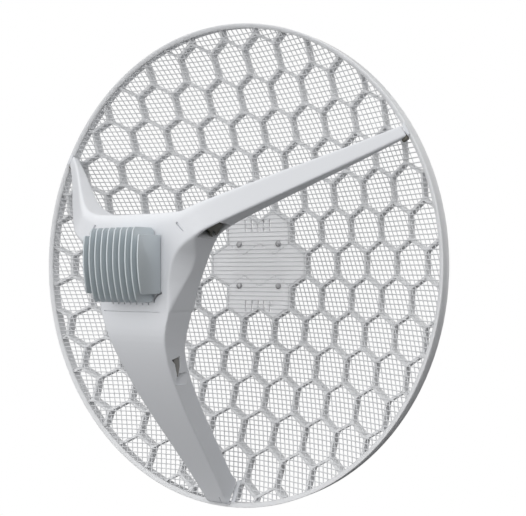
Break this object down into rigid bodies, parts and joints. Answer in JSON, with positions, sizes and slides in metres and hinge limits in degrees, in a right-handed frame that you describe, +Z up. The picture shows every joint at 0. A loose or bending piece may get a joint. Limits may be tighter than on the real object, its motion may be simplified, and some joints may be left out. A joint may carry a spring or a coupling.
{
  "type": "wireless bridge dish antenna",
  "caption": "Round parabolic grid reflector of honeycomb ribs and wire mesh, with a tripod arm that holds a finned radio and its feed at the focus.",
  "frame": {"origin": "centre of the rear mounting disc's flat back face", "axes": "+Z is up, the dish looks along -Y, and +Y is the outward normal of the rear mounting face"},
  "size_m": [0.391, 0.222, 0.391],
  "materials": {
    "plastic_white": "off-white moulded weatherproof plastic with a fine satin grain",
    "cast_aluminium": "die-cast aluminium, blue-grey, lightly blasted",
    "screw_steel": "zinc-plated screw heads"
  },
  "bodies": {
    "root": {"arm_leg_lower": "plastic_white", "arm_yoke": "plastic_white", "centre_patch": "plastic_white", "feed_body": "plastic_white", "feed_radome": "plastic_white", "flange_nut_1": "screw_steel", "flange_nut_2": "screw_steel", "flange_nut_3": "screw_steel", "flange_nut_4": "screw_steel", "grid_sector_1": "plastic_white", "grid_sector_2": "plastic_white", "grid_sector_3": "plastic_white", "grid_sector_4": "plastic_white", "grid_sector_5": "plastic_white", "grid_sector_6": "plastic_white", "heatsink_base": "cast_aluminium", "heatsink_end_left": "cast_aluminium", "heatsink_end_right": "cast_aluminium", "heatsink_fin_1": "cast_aluminium", "heatsink_fin_2": "cast_aluminium", "heatsink_fin_3": "cast_aluminium", "heatsink_fin_4": "cast_aluminium", "heatsink_fin_5": "cast_aluminium", "heatsink_fin_6": "cast_aluminium", "heatsink_fin_7": "cast_aluminium", "heatsink_fin_8": "cast_aluminium", "patch_screw_1": "screw_steel", "patch_screw_2": "screw_steel", "patch_screw_3": "screw_steel", "patch_screw_4": "screw_steel", "rear_flange": "plastic_white", "rear_mount_disc": "plastic_white", "rear_stem": "plastic_white", "rim_ring": "plastic_white", "rim_socket_left": "plastic_white", "rim_socket_lower": "plastic_white", "rim_socket_right": "plastic_white", "wire_sector_1": "plastic_white", "wire_sector_2": "plastic_white", "wire_sector_3": "plastic_white", "wire_sector_4": "plastic_white", "wire_sector_5": "plastic_white", "wire_sector_6": "plastic_white"}
  },
  "joints": []
}
